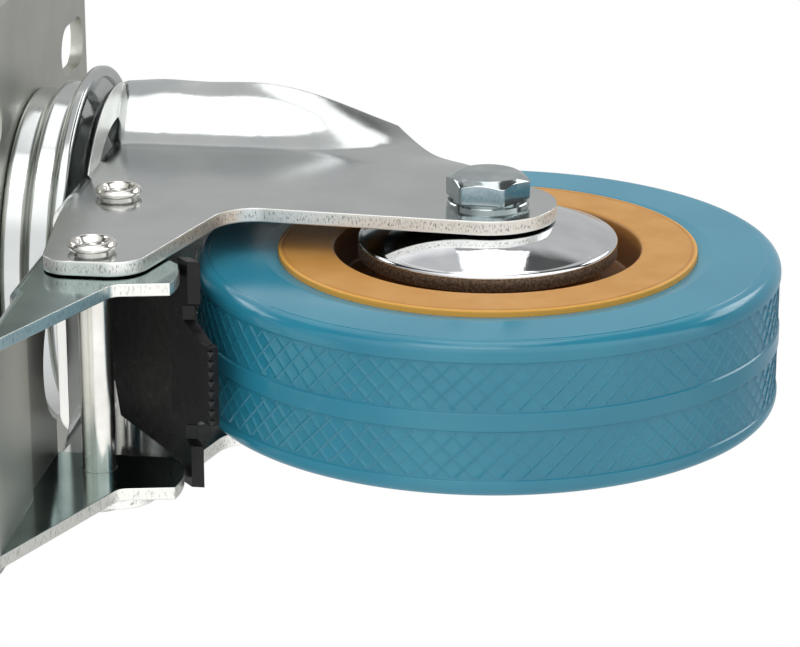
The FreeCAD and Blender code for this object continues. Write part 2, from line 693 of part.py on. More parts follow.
def makeNut():
    foot = outHalf + s.washerThick
    top = foot + s.nutHeight
    body = newBody("axle_nut", axleX, axleZ)
    corners = hexagon(s.headAcross, math.radians(8))
    padded(body, "XZ_Plane", lambda drawn: drawOutline(drawn, corners), top, flip=True)
    waste = [(zero, zero), (s.headAcross, zero), (s.headAcross, foot), (s.axleRadius, foot),
             (s.axleRadius, top + 1), (zero, top + 1)]
    grooved(body, "XY_Plane", lambda drawn: drawOutline(drawn, waste))
    crown = s.headAcross / 2 - 0.9
    trim = [(crown, top), (s.headAcross, top), (s.headAcross, top - s.nutCollar), (crown, top - s.nutCollar)]
    grooved(body, "XY_Plane", lambda drawn: drawOutline(drawn, trim))
    rounded(body, s.nutCollar * 0.4, ringEdge(1, crown, top))


def makeWasher():
    foot = outHalf
    turned("axle_washer", "XY_Plane", [
        (s.axleRadius, foot), (s.washerRadius, foot), (s.washerRadius, foot + s.washerThick),
        (s.axleRadius, foot + s.washerThick)], axleX, axleZ)


# Brake

def rivet(label, back, drop):
    # A semi-tubular rivet across the fork, with a rolled head and a hollow at each end.
    face = outHalf
    top = face + s.rivetRaise
    turned(label, "XY_Plane", mirrored([
        (zero, top - s.rivetDepth), (s.rivetRecess * 0.8, top - s.rivetDepth), (s.rivetRecess, top - 0.3),
        (s.rivetRecess + 0.3, top), (s.rivetHead - 0.7, top), (s.rivetHead, top - 0.7),
        (s.rivetHead, face + 0.9), (s.rivetHead - 0.8, face + 0.5), (s.rivetHead - 0.8, face),
        (s.rivetRadius, face)]), axleX - back, -drop)


def makePedal():
    # A folded channel: a stepped web on top, an ear at each side on the pin, and a lip at the foot end.
    body = newBody("brake_pedal", axleX - s.pedalPinBack, -s.pedalPinDrop)
    top, sheetThick = s.pedalRise, s.pedalSheet
    tread, tail = top - s.pedalStep, top - s.pedalStep - s.pedalDroop
    crease = s.pedalCrease + s.pedalStep * 2
    slope = s.pedalDroop / (s.pedalReach - crease)
    endUnder = tread - sheetThick - slope * (s.earEnd - crease)
    lipBack = -s.pedalReach - s.pedalLip
    ear = [(s.earFront, top), (-s.pedalCrease, top), (-crease, tread), (-s.pedalReach, tail),
           (lipBack, tail - s.pedalLip), (lipBack + 1.6, tail - s.pedalLip - 2),
           (-s.pedalReach + 0.6, tail - sheetThick), (-s.earEnd, endUnder),
           (-s.earHeel, -s.earHeelDrop), (-s.earBack, -s.earFoot, s.earArc), (s.earTip, -s.earFoot + 0.7),
           (s.earFront, -s.earFoot * 0.75)]
    width = s.forkInside - s.sideGap * 2
    padded(body, "XZ_Plane", lambda sketch: drawOutline(sketch, ear), width, "Symmetric")
    under = top - sheetThick
    front, foot = s.earFront + 2, -s.earFoot - 8
    channel = [(front, under), (-s.pedalCrease, under), (-crease, tread - sheetThick), (-s.earEnd, endUnder),
               (-s.earEnd, foot), (front, foot)]
    pocketed(body, "XZ_Plane", lambda sketch: drawOutline(sketch, channel), earInside * 2)
    hole = s.rivetRadius + s.runningGap
    pocketed(body, "XZ_Plane", lambda sketch: drawCircle(sketch, zero, zero, hole), width + 10)
    notchAcross = s.earFront + s.pedalNotch / 3
    notchDeep = s.pedalRise * 3
    pocketed(body, "XY_Plane", lambda sketch: drawCircle(sketch, notchAcross, zero, s.pedalNotch), notchDeep)
    half = width.value / 2

    def fold(edge):
        box = edge.BoundBox
        level = abs(abs(box.Center.y) - half) < 0.01 and box.YLength < 0.01
        high = box.ZMin > tail.value - 0.01
        return level and high and box.XLength > 1
    rounded(body, s.pedalFold, fold)

    def heel(edge):
        point = edge.CenterOfMass
        return abs(point.x + s.earHeel.value) < 0.01 and abs(point.z + s.earHeelDrop.value) < 0.01
    rounded(body, s.heelRound, heel)


def makeShoe():
    # A spring-steel leaf: an eye on its pin, a knee, and a toothed biting edge over the tread.
    body = newBody("brake_shoe", axleX - s.shoePinBack, -s.shoePinDrop)
    thick = s.shoeSheet
    eye = s.rivetRadius + s.runningGap
    outer = eye + thick
    run = math.hypot(s.shoeKnee.value, s.shoeKneeDrop.value + outer.value)
    acrossX, acrossZ = (s.shoeKneeDrop.value + outer.value) / run, s.shoeKnee.value / run
    leaf = [(zero, outer), (-s.shoeKnee, -s.shoeKneeDrop), (-s.shoeReach, -s.shoeDrop),
            (-s.shoeReach + thick * 0.7, -s.shoeDrop - thick * 0.72),
            (-s.shoeKnee + thick * acrossX * 1.15, -s.shoeKneeDrop - thick * acrossZ * 0.9),
            (thick * acrossX, outer - thick * acrossZ)]
    wide = earInside - s.shoeSideGap
    end = earInside + s.tabReach
    padded(body, "XZ_Plane", lambda sketch: drawOutline(sketch, leaf), end * 2, "Symmetric")
    padded(body, "XZ_Plane", lambda sketch: drawCircle(sketch, zero, zero, outer), s.shoeNeck, "Symmetric")
    pocketed(body, "XZ_Plane", lambda sketch: drawCircle(sketch, zero, zero, eye), s.shoeNeck * 2)
    far = s.shoeReach + 5

    def drawTrim(sketch):
        # The leaf's plan: a narrow eye, the clear width between the ears, then two tabs and a lug.
        neck = s.shoeNeck / 2
        for sign in (1, -1):
            shoulder = [(outer + 2, neck), (-s.neckLength, neck), (-s.neckLength - 2, wide),
                        (-s.tabStart, wide), (-s.tabStart, end + 2), (outer + 2, end + 2)]
            notch = [(-s.lugStart, s.lugRoot), (-s.lugStart, s.lugRoot + s.notchWidth),
                     (-s.tabEnd, s.lugRoot + s.notchWidth + 1), (-s.tabEnd, end + 2), (-far, end + 2),
                     (-far, s.lugTip), (-s.shoeReach + 3, s.lugTip)]
            for corners in (shoulder, notch):
                drawOutline(sketch, [(x, y * sign) for x, y in corners])
    pocketed(body, "XY_Plane", drawTrim, s.shoeDrop * 4)

    def drawTeeth(sketch):
        # A saw-tooth edge across the lug's tip.
        count = int(s.toothCount.value)
        pitch = s.lugTip * 2 / count
        teeth = []
        for index in range(count):
            across = pitch * index - s.lugTip
            teeth += [(-s.shoeReach, across), (-s.shoeReach + s.toothDepth, across + pitch / 2)]
        drawOutline(sketch, teeth + [(-s.shoeReach, s.lugTip), (-far, s.lugTip + 1), (-far, -s.lugTip - 1)])
    pocketed(body, "XY_Plane", drawTeeth, s.shoeDrop * 4)


def checkAndWrite():
    for item in doc.Objects:
        if "Invalid" in item.State or "Error" in item.State:
            raise ValueError(f"{item.Name} failed to build: {item.State}")
    os.makedirs("parts", exist_ok=True)
    for item in parts:
        if item.Shape.isNull() or not item.Shape.isValid():
            raise ValueError(f"{item.Label} has no valid shape")
    for item in parts:
        item.Shape.exportStep(f"parts/{item.Label}.step")
        box = item.Shape.BoundBox
        print(f"{item.Label:16s} {len(item.Shape.Solids):3d} solid(s) {item.Shape.Volume:10.1f} mm3",
              f"x {box.XMin:7.1f} {box.XMax:7.1f} y {box.YMin:6.1f} {box.YMax:6.1f}",
              f"z {box.ZMin:7.1f} {box.ZMax:7.1f}")


makeTopPlate()
makeCup()
makeKingpin()
makeLowerRace()
makeCollar()
makeSwivelBalls()
makeFork()
makeTyre()
makeHub()
makeBearings()
makeGuards()
makeSleeve()
makeBolt()
makeNut()
makeWasher()
rivet("pedal_pin", s.pedalPinBack, s.pedalPinDrop)
rivet("shoe_pin", s.shoePinBack, s.shoePinDrop)
makePedal()
makeShoe()
doc.recompute()
checkAndWrite()
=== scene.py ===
import math

import bmesh
import bpy
import numpy as np
from mathutils import Matrix, Vector


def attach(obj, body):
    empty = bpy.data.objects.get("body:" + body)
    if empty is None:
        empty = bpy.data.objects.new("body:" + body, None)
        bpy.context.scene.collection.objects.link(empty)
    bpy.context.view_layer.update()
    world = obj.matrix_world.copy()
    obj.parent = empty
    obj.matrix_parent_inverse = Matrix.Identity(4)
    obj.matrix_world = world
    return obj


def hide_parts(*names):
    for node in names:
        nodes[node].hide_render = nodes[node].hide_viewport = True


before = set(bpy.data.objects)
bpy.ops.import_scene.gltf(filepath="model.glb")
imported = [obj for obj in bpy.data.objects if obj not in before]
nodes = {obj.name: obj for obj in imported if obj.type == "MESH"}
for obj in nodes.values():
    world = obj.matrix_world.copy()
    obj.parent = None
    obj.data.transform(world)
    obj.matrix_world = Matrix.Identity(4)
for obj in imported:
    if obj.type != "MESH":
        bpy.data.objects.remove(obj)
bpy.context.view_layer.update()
mm = 0.001

axleX, axleZ = -38.0, -111.0  # the wheel's axle in the row's frame, in mm
print("stage: frame loaded")


# Mesh helpers. Every profile is in mm and every finished mesh is in metres, with its object at the origin.

def meshFrom(name, points, faces):
    # Points are an (n, 3) array in mm, faces an (m, 3) or (m, 4) array of point numbers.
    mesh = bpy.data.meshes.new(name)
    mesh.vertices.add(len(points))
    mesh.vertices.foreach_set("co", (np.asarray(points) * mm).astype(np.float32).ravel())
    mesh.loops.add(faces.size)
    mesh.loops.foreach_set("vertex_index", faces.astype(np.int32).ravel())
    mesh.polygons.add(len(faces))
    mesh.polygons.foreach_set("loop_start", np.arange(0, faces.size, faces.shape[1], dtype=np.int32))
    mesh.update(calc_edges=True)
    mesh.validate()
    piece = bpy.data.objects.new(name, mesh)
    bpy.context.collection.objects.link(piece)
    return piece


def finishSurface(piece, sharp):
    # Turns the faces outwards, shades the surface smooth and keeps the edges above the angle crisp.
    shape = bmesh.new()
    shape.from_mesh(piece.data)
    bmesh.ops.remove_doubles(shape, verts=shape.verts, dist=0.000002)
    bmesh.ops.recalc_face_normals(shape, faces=shape.faces)
    shape.to_mesh(piece.data)
    shape.free()
    piece.data.shade_smooth()
    piece.data.set_sharp_from_angle(angle=math.radians(sharp))


def ringFaces(rows, columns):
    # Quads of a grid that closes on itself both ways: row i, column j is point i * columns + j.
    i, j = np.meshgrid(np.arange(rows), np.arange(columns), indexing="ij")
    below, right = (i + 1) % rows, (j + 1) % columns
    quads = [i * columns + j, i * columns + right, below * columns + right, below * columns + j]
    return np.stack(quads, axis=-1).reshape(-1, 4)


def roundedProfile(corners, step=15):
    # A closed outline from (across, along, radius) corners. Each corner with a radius becomes an arc that
    # touches both sides, in steps of about the given number of degrees, and each straight side gets a
    # point just inside its ends, so that its shading stays flat.
    spots = np.array([corner[:2] for corner in corners], dtype=float)
    outline = []
    for index, corner in enumerate(corners):
        here, before, after = spots[index], spots[index - 1], spots[(index + 1) % len(corners)]
        radius = corner[2]
        if radius <= 0:
            outline.append(here)
            continue
        back, ahead = (before - here), (after - here)
        back, ahead = back / np.linalg.norm(back), ahead / np.linalg.norm(ahead)
        half = math.acos(np.clip(np.dot(back, ahead), -1, 1)) / 2
        middle = (back + ahead) / np.linalg.norm(back + ahead)
        centre = here + middle * radius / math.sin(half)
        start, end = here + back * radius / math.tan(half), here + ahead * radius / math.tan(half)
        turn = math.pi - 2 * half
        count = max(2, int(math.degrees(turn) / step) + 1)
        first = math.atan2(*(start - centre)[::-1])
        last = math.atan2(*(end - centre)[::-1])
        sweep = (last - first + math.pi) % (2 * math.pi) - math.pi
        angles = first + sweep * np.linspace(0, 1, count + 1)
        arc = centre + radius * np.stack([np.cos(angles), np.sin(angles)], axis=-1)
        outline.append(here + back * (radius / math.tan(half) + 0.02 * np.linalg.norm(before - here)))
        outline.extend(arc)
        outline.append(here + ahead * (radius / math.tan(half) + 0.02 * np.linalg.norm(after - here)))
    return np.array(outline)


def turnedRing(name, profile, axis, columns, centre=(0.0, 0.0, 0.0), sharp=40):
    # A closed profile of (radius, along) turned round the Y or Z axis through centre.
    angle = np.linspace(0, 2 * np.pi, columns, endpoint=False)
    radius, along = profile[:, :1], profile[:, 1:] * np.ones_like(angle)
    first, second = radius * np.cos(angle), radius * np.sin(angle)
    layers = [first, along, second] if axis == "Y" else [first, second, along]
    points = np.stack(layers, axis=-1).reshape(-1, 3) + np.array(centre)
    piece = meshFrom(name, points, ringFaces(len(profile), columns))
    finishSurface(piece, sharp)
    return piece


def mirroredProfile(corners):
    # The corners from the top down to the middle plane, then their mirror image on the way back.
    return corners + [(across, -along, radius) for across, along, radius in reversed(corners)]


# Material helpers

def fromHex(text):
    # An sRGB hex colour as linear red, green, blue and alpha.
    parts = [int(text[i:i + 2], 16) / 255 for i in (0, 2, 4)]
    linear = [part / 12.92 if part <= 0.04045 else ((part + 0.055) / 1.055) ** 2.4 for part in parts]
    return (*linear, 1.0)


def addNode(tree, kind, values=None, links=None, **settings):
    # Adds one node, sets its options and constant inputs, and links its other inputs.
    made = tree.nodes.new(kind)
    for key, value in settings.items():
        setattr(made, key, value)
    for key, value in (values or {}).items():
        made.inputs[key].default_value = value
    for key, source in (links or {}).items():
        tree.links.new(source, made.inputs[key])
    return made


def newMaterial(name, **constants):
    # A Principled material whose constant values sit on the shader's own sockets.
    material = bpy.data.materials.new(name)
    material.use_nodes = True
    tree = material.node_tree
    tree.nodes.clear()
    shader = addNode(tree, "ShaderNodeBsdfPrincipled", values=constants)
    addNode(tree, "ShaderNodeOutputMaterial", links={"Surface": shader.outputs["BSDF"]})
    place = addNode(tree, "ShaderNodeTexCoord")
    return material, tree, shader, place


def grain(tree, place, size, stretch=(1, 1, 1), detail=2.0):
    # Noise with features of about the given size in mm, stretched by the factors along X, Y and Z.
    spread = [1 / (size * mm * factor) for factor in stretch]
    mapped = addNode(tree, "ShaderNodeMapping", values={"Scale": spread}, links={"Vector": place})
    return addNode(tree, "ShaderNodeTexNoise", values={"Scale": 1.0, "Detail": detail},
                   links={"Vector": mapped.outputs["Vector"]})


def ranged(tree, source, low, high, fromLow=0.3, fromHigh=0.7):
    # Maps the source's range to low and high. Noise stays mostly between 0.3 and 0.7.
    return addNode(tree, "ShaderNodeMapRange", links={"Value": source},
                   values={"From Min": fromLow, "From Max": fromHigh, "To Min": low, "To Max": high})


def mixColours(tree, factor, first, second):
    mix = addNode(tree, "ShaderNodeMix", data_type="RGBA", links={0: factor})
    for slot, colour in ((6, first), (7, second)):
        if isinstance(colour, str):
            mix.inputs[slot].default_value = fromHex(colour)
        else:
            tree.links.new(colour, mix.inputs[slot])
    return mix.outputs[2]


def bumped(tree, shader, height, distance, before=None):
    # Raises the surface by up to the distance in mm where the height is 1, on top of the normal before.
    links = {"Height": height}
    if before is not None:
        links["Normal"] = before
    bump = addNode(tree, "ShaderNodeBump", {"Distance": distance * mm, "Strength": 1.0}, links)
    tree.links.new(bump.outputs["Normal"], shader.inputs["Normal"])
    return bump.outputs["Normal"]


# Electroplated zinc on pressed steel sheet: a bright grey metal with a faint blue-green passivation,
# slightly cloudy at the scale of the rolled sheet's grain, and a soft waviness that bends reflections.

def absolute(tree, source):
    return addNode(tree, "ShaderNodeMath", operation="ABSOLUTE", links={0: source}).outputs[0]


def shearedEdges(tree, place, settings, colour, rough):
    # Sheared sheet edges face along X and Z only. A lighter line runs along each side of them, partly the
    # burnished metal of the cut and partly a painted highlight for the light that the edge catches, and
    # between the lines the torn metal is marked across its thickness.
    facing = addNode(tree, "ShaderNodeSeparateXYZ", links={"Vector": place.outputs["Normal"]})
    mask = ranged(tree, absolute(tree, facing.outputs["Y"]), 1.0, 0.0, 0.15, 0.35).outputs[0]
    spot = place.outputs["Object"]
    marks = grain(tree, spot, settings["shearSize"], (1, 3, 1), detail=4.0)
    marked = ranged(tree, marks.outputs["Fac"], 0.0, 1.0, 0.52, 0.68)
    level = addNode(tree, "ShaderNodeSeparateXYZ", links={"Vector": spot})
    depth = addNode(tree, "ShaderNodeMath", {1: settings["edgeMiddle"] * mm},
                    {0: absolute(tree, level.outputs["Y"])}, operation="SUBTRACT")
    torn = ranged(tree, absolute(tree, depth.outputs[0]), 1.0, 0.0, 0.7 * mm, 1.15 * mm)
    shown = addNode(tree, "ShaderNodeMath", operation="MULTIPLY",
                    links={0: marked.outputs[0], 1: torn.outputs[0]})
    # The edge colour is lighter than the zinc: a painted highlight along the cut edges, partly burnished
    # metal.
    edge = mixColours(tree, shown.outputs[0], settings["edgeHighlightColour"], settings["edgeMark"])
    blunt = ranged(tree, mask, settings["smoothest"], settings["edgeRough"], 0.0, 1.0).outputs[0]
    rougher = addNode(tree, "ShaderNodeMath", operation="MAXIMUM", links={0: rough, 1: blunt})
    return mixColours(tree, mask, colour, edge), rougher.outputs[0]


def zincPlated(name, settings):
    material, tree, shader, place = newMaterial(name, Metallic=1.0)
    spot = place.outputs["Object"]
    clouds = grain(tree, spot, settings["cloudSize"], detail=3.0)
    fine = grain(tree, spot, settings["grainSize"], settings["grainStretch"], detail=3.0)
    tint = ranged(tree, clouds.outputs["Fac"], 0.0, 1.0, 0.35, 0.65)
    colour = mixColours(tree, tint.outputs[0], settings["colour"], settings["cloudColour"])
    rough = ranged(tree, fine.outputs["Fac"], settings["smoothest"], settings["roughest"]).outputs[0]
    if "edgeHighlightColour" in settings:
        colour, rough = shearedEdges(tree, place, settings, colour, rough)
    tree.links.new(colour, shader.inputs["Base Color"])
    tree.links.new(rough, shader.inputs["Roughness"])
    wave = grain(tree, spot, settings["waveSize"], detail=1.0)
    before = None
    if "edgeRound" in settings:
        # The plating rounds every cut edge a little, so each edge catches a thin line of light.
        softened = addNode(tree, "ShaderNodeBevel", {"Radius": settings["edgeRound"] * mm}, samples=6)
        before = softened.outputs["Normal"]
    first = bumped(tree, shader, wave.outputs["Fac"], settings["waveDepth"], before)
    bumped(tree, shader, fine.outputs["Fac"], settings["grainDepth"], first)
    return material


zincBase = {
    "colour": "C6C9C8", "cloudColour": "BCC0C0", "cloudSize": 16.0, "smoothest": 0.13, "roughest": 0.18,
    "grainSize": 0.6, "grainStretch": (1, 1, 1), "grainDepth": 0.001, "waveSize": 14.0, "waveDepth": 0.02,
}
# The lighter edge colour of the fork and pedal is partly burnished metal and partly a painted highlight on
# the cut edges.
forkZinc = zincPlated("zincPlatedForkSteel", {
    **zincBase, "edgeHighlightColour": "ECECE8", "edgeMark": "8E918E", "shearSize": 0.28, "edgeMiddle": 25.1,
    "edgeRough": 0.42, "edgeRound": 0.4})
plateZinc = zincPlated("zincPlatedPlateSteel", {
    **zincBase, "colour": "B7B8AF", "cloudColour": "ABADA5", "smoothest": 0.3, "roughest": 0.4})
cupZinc = zincPlated("zincPlatedCupSteel", {
    **zincBase, "smoothest": 0.12, "grainSize": 0.8})
pedalZinc = zincPlated("zincPlatedPedalSteel", {
    **zincBase, "colour": "93A6A4", "cloudColour": "788C8A", "smoothest": 0.1, "roughest": 0.16,
    "edgeHighlightColour": "E4E4DE", "edgeMark": "B4B7B4", "shearSize": 0.5, "edgeMiddle": 21.9, "edgeRough": 0.34,
    "edgeRound": 0.35})
boltZinc = zincPlated("zincPlatedBoltSteel", {
    **zincBase, "colour": "B9C1C2", "cloudColour": "A3AEB0", "smoothest": 0.1, "roughest": 0.16,
    "cloudSize": 5.0, "waveSize": 5.0})
pinSteel = zincPlated("brightDrawnPinSteel", {
    **zincBase, "colour": "E2E1DC", "cloudColour": "D4D2CC", "smoothest": 0.16, "roughest": 0.24,
    "grainStretch": (1, 8, 1), "cloudSize": 6.0, "waveDepth": 0.01})
raceSteel = zincPlated("groundBearingSteel", {
    **zincBase, "colour": "B9B9B6", "cloudColour": "A8A8A5", "smoothest": 0.2, "roughest": 0.28})
ballSteel = zincPlated("polishedBallSteel", {
    **zincBase, "colour": "C8C8C6", "cloudColour": "C0C0BE", "smoothest": 0.05, "roughest": 0.1,
    "waveDepth": 0.0, "grainDepth": 0.0})


# Polished nickel-chrome plating on the deep-drawn thread guard: near-mirror, with only a trace of the
# drawing marks, so it shows the room as dark and light bands.

def chromePlating(settings):
    # The dome is near-mirror. Its skirt and rolled rim, past the given distance from the middle plane, are
    # duller where the plating is thin.
    material, tree, shader, place = newMaterial("polishedChromePlating", Metallic=1.0)
    spot = place.outputs["Object"]
    smear = grain(tree, spot, settings["smearSize"])
    speck = grain(tree, spot, settings["speckSize"])
    split = addNode(tree, "ShaderNodeSeparateXYZ", links={"Vector": spot})
    along = absolute(tree, split.outputs["Y"])
    top = settings["skirtTop"]
    skirt = ranged(tree, along, 1.0, 0.0, (top - 0.5) * mm, top * mm)
    tint = ranged(tree, smear.outputs["Fac"], 0.0, 1.0)
    dome = mixColours(tree, tint.outputs[0], settings["dome"], settings["domeCloud"])
    grey = ranged(tree, speck.outputs["Fac"], 0.0, 1.0, 0.4, 0.6)
    band = mixColours(tree, grey.outputs[0], settings["skirt"], settings["skirtSpeck"])
    tree.links.new(mixColours(tree, skirt.outputs[0], dome, band), shader.inputs["Base Color"])
    rough = ranged(tree, skirt.outputs[0], settings["domeRough"], settings["skirtRough"], 0.0, 1.0)
    tree.links.new(rough.outputs[0], shader.inputs["Roughness"])
    wave = grain(tree, spot, settings["waveSize"], detail=1.0)
    first = bumped(tree, shader, wave.outputs["Fac"], settings["waveDepth"])
    bumped(tree, shader, speck.outputs["Fac"], settings["speckDepth"], first)
    return material


# Moulded thermoplastic rubber, pigmented blue: glossy from the mould, with a faint flow pattern and
# tiny pits.

def tyreRubber(settings):
    material, tree, shader, place = newMaterial(
        "mouldedBlueRubber", **{"Metallic": 0.0, "IOR": 1.5, "Specular IOR Level": 0.5})
    spot = place.outputs["Object"]
    flow = grain(tree, spot, settings["flowSize"], detail=3.0)
    pits = grain(tree, spot, settings["pitSize"])
    tint = ranged(tree, flow.outputs["Fac"], 0.0, 1.0, 0.35, 0.65)
    body = mixColours(tree, tint.outputs[0], settings["colour"], settings["flowColour"])
    tree.links.new(body, shader.inputs["Base Color"])
    rough = ranged(tree, flow.outputs["Fac"], settings["smoothest"], settings["roughest"])
    tree.links.new(rough.outputs[0], shader.inputs["Roughness"])
    first = bumped(tree, shader, flow.outputs["Fac"], settings["flowDepth"])
    bumped(tree, shader, pits.outputs["Fac"], settings["pitDepth"], first)
    return material


# Injection-moulded nylon, tan: a satin face, with a painted highlight in a brighter colour round the rounded
# outer lip, and painted shade in a browner tone in the pocket.

def hubNylon(settings):
    material, tree, shader, place = newMaterial(
        "mouldedTanNylon", **{"Metallic": 0.0, "IOR": 1.53, "Specular IOR Level": 0.3})
    spot = place.outputs["Object"]
    split = addNode(tree, "ShaderNodeSeparateXYZ", links={"Vector": spot})
    across = addNode(tree, "ShaderNodeMath", {1: -axleX * mm}, {0: split.outputs["X"]}, operation="ADD")
    upward = addNode(tree, "ShaderNodeMath", {1: -axleZ * mm}, {0: split.outputs["Z"]}, operation="ADD")
    flat = addNode(tree, "ShaderNodeCombineXYZ", links={"X": across.outputs[0], "Y": upward.outputs[0]})
    radius = addNode(tree, "ShaderNodeVectorMath", operation="LENGTH", links={0: flat.outputs[0]})
    lipFrom, lipTo = [edge * mm for edge in settings["lipHighlightEdge"]]
    pocketFrom, pocketTo = [edge * mm for edge in settings["pocketShadeEdge"]]
    lip = ranged(tree, radius.outputs["Value"], 0.0, 1.0, lipFrom, lipTo)
    pocket = ranged(tree, radius.outputs["Value"], 1.0, 0.0, pocketFrom, pocketTo)
    flow = grain(tree, spot, settings["flowSize"], detail=3.0)
    tint = ranged(tree, flow.outputs["Fac"], 0.0, 1.0, 0.35, 0.65)
    face = mixColours(tree, tint.outputs[0], settings["face"], settings["faceCloud"])
    # Painted highlight: the brighter lip colour on the rounded outer edge.
    colour = mixColours(tree, lip.outputs[0], face, settings["lip"])
    # Painted shade: the darker brown inside the pocket.
    colour = mixColours(tree, pocket.outputs[0], colour, settings["pocket"])
    tree.links.new(colour, shader.inputs["Base Color"])
    rough = ranged(tree, flow.outputs["Fac"], settings["smoothest"], settings["roughest"])
    tree.links.new(rough.outputs[0], shader.inputs["Roughness"])
    speck = grain(tree, spot, settings["speckSize"])
    bumped(tree, shader, speck.outputs["Fac"], settings["speckDepth"])
    return material


# Black oxide on spring steel with an oily sheen: near black, with dim grey highlights.

def shoeOxide(settings):
    material, tree, shader, place = newMaterial(
        "blackOxideSpringSteel", **{"Metallic": 0.0, "IOR": 1.5, "Specular IOR Level": 0.3})
    spot = place.outputs["Object"]
    wear = grain(tree, spot, settings["wearSize"], detail=4.0)
    tint = ranged(tree, wear.outputs["Fac"], 0.0, 1.0, 0.5, 0.75)
    tree.links.new(mixColours(tree, tint.outputs[0], settings["colour"], settings["worn"]),
                   shader.inputs["Base Color"])
    rough = ranged(tree, wear.outputs["Fac"], settings["smoothest"], settings["roughest"])
    tree.links.new(rough.outputs[0], shader.inputs["Roughness"])
    fine = grain(tree, spot, settings["fineSize"])
    bumped(tree, shader, fine.outputs["Fac"], settings["fineDepth"])
    return material


chrome = chromePlating({
    "dome": "DCDDDE", "domeCloud": "CDD0D3", "skirt": "DDD7CB", "skirtSpeck": "A29C90", "skirtTop": 18.6,
    "domeRough": 0.05, "skirtRough": 0.4, "smearSize": 7.0, "speckSize": 0.5, "speckDepth": 0.004,
    "waveSize": 6.0, "waveDepth": 0.05})
rubber = tyreRubber({
    "colour": "2D839B", "flowColour": "287C95", "flowSize": 22.0, "flowDepth": 0.05, "pitSize": 0.5,
    "pitDepth": 0.002, "smoothest": 0.13, "roughest": 0.19})
# The hub's lip colour is a painted highlight on the rounded outer edge, and its pocket colour is painted
# shade in the recess.
nylon = hubNylon({
    "face": "C38E46", "faceCloud": "BC863F", "lip": "E0A64A", "pocket": "7A5230", "lipHighlightEdge": (44.1, 44.4),
    "pocketShadeEdge": (32.4, 33.2), "flowSize": 9.0, "smoothest": 0.36, "roughest": 0.46, "speckSize": 0.6,
    "speckDepth": 0.02})
oxide = shoeOxide({
    "colour": "050506", "worn": "0E0E0F", "wearSize": 2.5, "smoothest": 0.25, "roughest": 0.45,
    "fineSize": 0.7, "fineDepth": 0.03})
print("stage: materials made")


# Tyre: a square-shouldered band with a smooth middle rib and two recessed bands of raised diamond lines.

tyreSize = {
    "radius": 62.5, "half": 16.3, "seat": 40.0, "flange": 13.4, "lip": 44.7, "dish": 0.4, "shoulder": 3.0,
    "bandEdge": 12.5, "ribHalf": 1.8, "recess": 0.45, "ridge": 0.2, "diamonds": 88, "cells": 10,
    "bandRows": 22,
}


def tyreSection(size, low, bandAlong):
    # The section's upper half from the seat round the side and over the shoulder, then one band's rows,
    # then the edge of the middle rib. The number of points before the band comes with it.
    side = roundedProfile([
        (size["seat"], 0.0, 0), (size["seat"], size["flange"], 0.4), (size["lip"], size["flange"], 0.2),
        (size["lip"], size["half"] - size["dish"], 0.15), (size["lip"] + 3.2, size["half"], 3.0),
        (size["radius"] - size["shoulder"] - 0.25, size["half"], 0.15),
        (size["radius"] - size["shoulder"] - 0.1, size["half"] - 0.12, 0.1),
        (size["radius"], size["half"] - 0.12, size["shoulder"] - 0.2),
        (size["radius"], size["bandEdge"], 0.25), (low, size["bandEdge"] - 0.3, 0.1),
        (low, 0.0, 0)])[1:-1]
    top = [point for point in side if point[0] < 45 or point[1] > bandAlong[0] + 0.1]
    band = np.stack([np.full(len(bandAlong), low), bandAlong], axis=-1)
    rib = roundedProfile([
        (low, 5.0, 0), (low, size["ribHalf"] + 0.3, 0.1), (size["radius"], size["ribHalf"], 0.25),
        (size["radius"], 0.0, 0)])[1:-1]
    rib = np.array([point for point in rib if point[1] < bandAlong[-1] - 0.1])
    return np.vstack([top, band, rib]), len(top)


def ridgeTriangles(quads, bandRows, cells, first, last, columns):
    # Splits each quad in two. On the bands, the diagonal follows the ridge that passes through the quad.
    row, column = np.divmod(np.arange(len(quads)), columns)
    upper = (row >= first) & (row < first + bandRows)
    lower = (row >= last) & (row < last + bandRows)
    local = np.where(upper, row - first, bandRows - 1 - (row - last))
    falls = np.where(upper, (local + column + 1) % cells == 0, (column + 1 - local) % cells != 1)
    falls = np.where(lower, (local - 1 - column) % cells == 0, falls)
    falls &= upper | lower
    a, b, c, d = quads.T
    one = np.where(falls[:, None], np.stack([a, b, d], -1), np.stack([a, b, c], -1))
    two = np.where(falls[:, None], np.stack([b, c, d], -1), np.stack([a, c, d], -1))
    return np.vstack([one, two])


